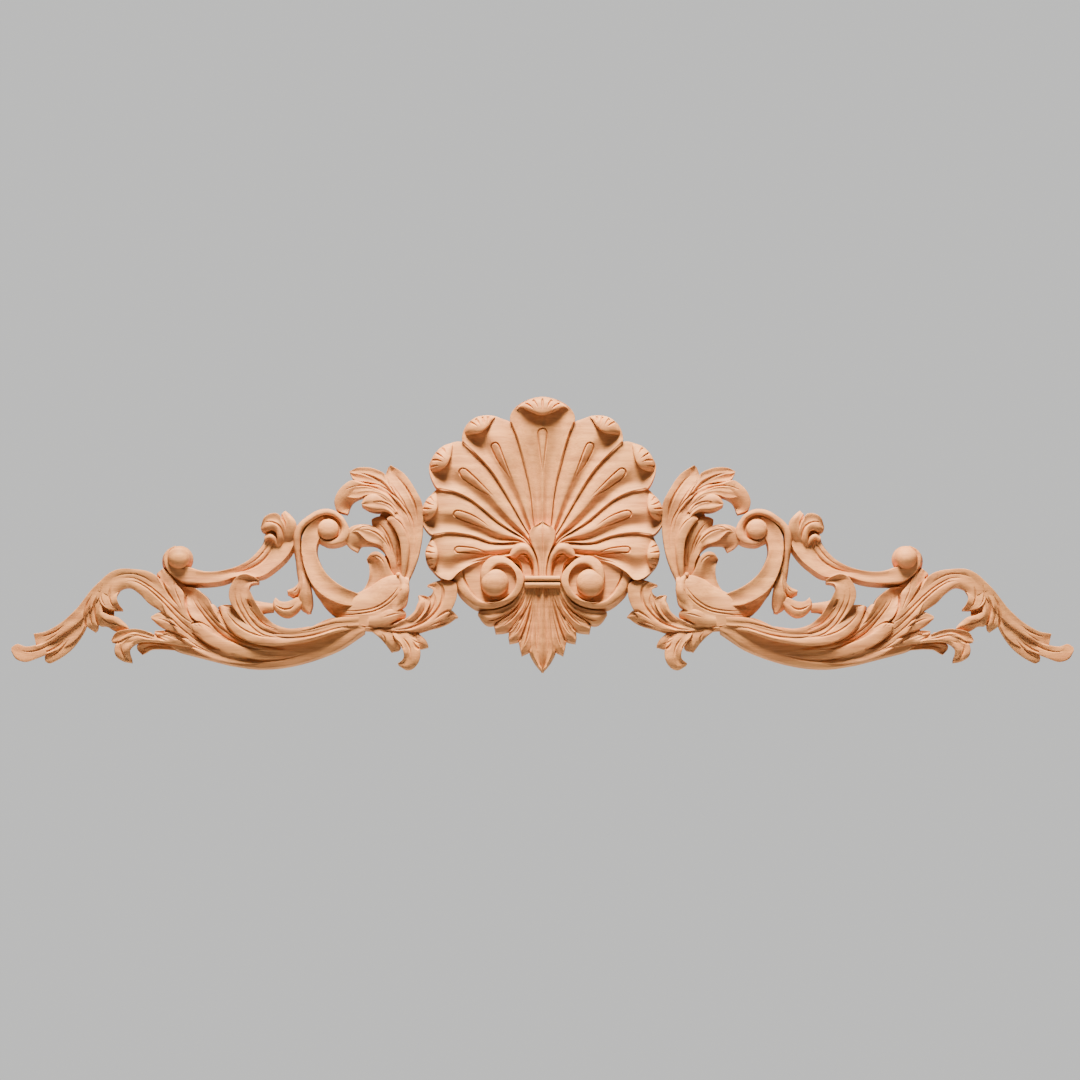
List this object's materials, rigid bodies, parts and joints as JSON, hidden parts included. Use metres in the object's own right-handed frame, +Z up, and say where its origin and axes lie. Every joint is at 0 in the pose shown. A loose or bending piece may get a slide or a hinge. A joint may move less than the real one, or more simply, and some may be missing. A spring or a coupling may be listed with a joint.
{
  "type": "carved wood scroll ornament",
  "caption": "Long carved wood appliqué with a ribbed shell, volutes, acanthus leaves and C-scrolls, made to be fixed flat on a door, mantel, bed or panel.",
  "frame": {"origin": "middle of the flat back, on the mirror line of the ornament", "axes": "+Z up, the front faces -Y, +X along the length; +Y is the outward normal of the back"},
  "size_m": [1.22, 0.036, 0.3192],
  "materials": {
    "carved_wood": "bare, fine sanded, unfinished"
  },
  "bodies": {
    "root": {"shell_and_scroll_carving": "carved_wood"}
  },
  "joints": []
}
